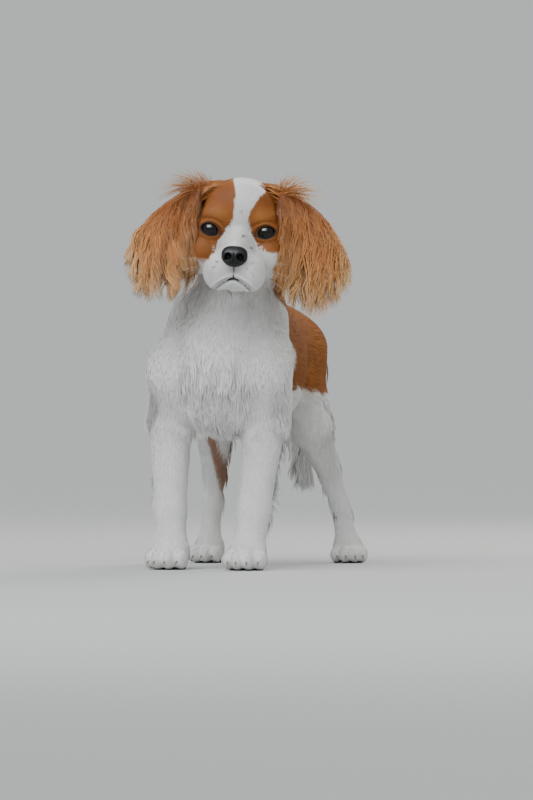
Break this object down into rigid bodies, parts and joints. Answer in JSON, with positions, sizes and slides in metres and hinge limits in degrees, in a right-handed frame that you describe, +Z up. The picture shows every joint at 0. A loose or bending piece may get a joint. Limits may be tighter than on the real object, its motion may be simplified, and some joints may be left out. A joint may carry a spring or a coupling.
{
  "type": "spaniel dog model",
  "caption": "Life-size still model of a young toy spaniel standing square-on, with long waved ears, a deep frill and a feathered tail.",
  "frame": {"origin": "on the floor, under the middle of the dog's bounding box", "axes": "+Z up, +X towards the dog's own left, -Y the way the body faces; the head is turned 12 degrees to its left"},
  "size_m": [0.249, 0.4474, 0.4119],
  "materials": {
    "white_coat": "silky white hair over pink skin",
    "chestnut_coat": "silky chestnut hair",
    "nose_leather": "moist pebbled nose skin",
    "eye": "wet dark brown eye"
  },
  "bodies": {
    "root": {"head": "chestnut_coat", "nose": "nose_leather", "eye_left": "eye", "eye_right": "eye", "ear_left": "chestnut_coat", "ear_right": "chestnut_coat", "neck": "white_coat", "torso": "white_coat", "shoulder_left": "white_coat", "shoulder_right": "white_coat", "foreleg_left": "white_coat", "foreleg_right": "white_coat", "forepaw_left": "white_coat", "forepaw_right": "white_coat", "thigh_left": "chestnut_coat", "thigh_right": "chestnut_coat", "shank_left": "white_coat", "shank_right": "white_coat", "hock_left": "white_coat", "hock_right": "white_coat", "hindpaw_left": "white_coat", "hindpaw_right": "white_coat", "tail": "white_coat"}
  },
  "joints": []
}
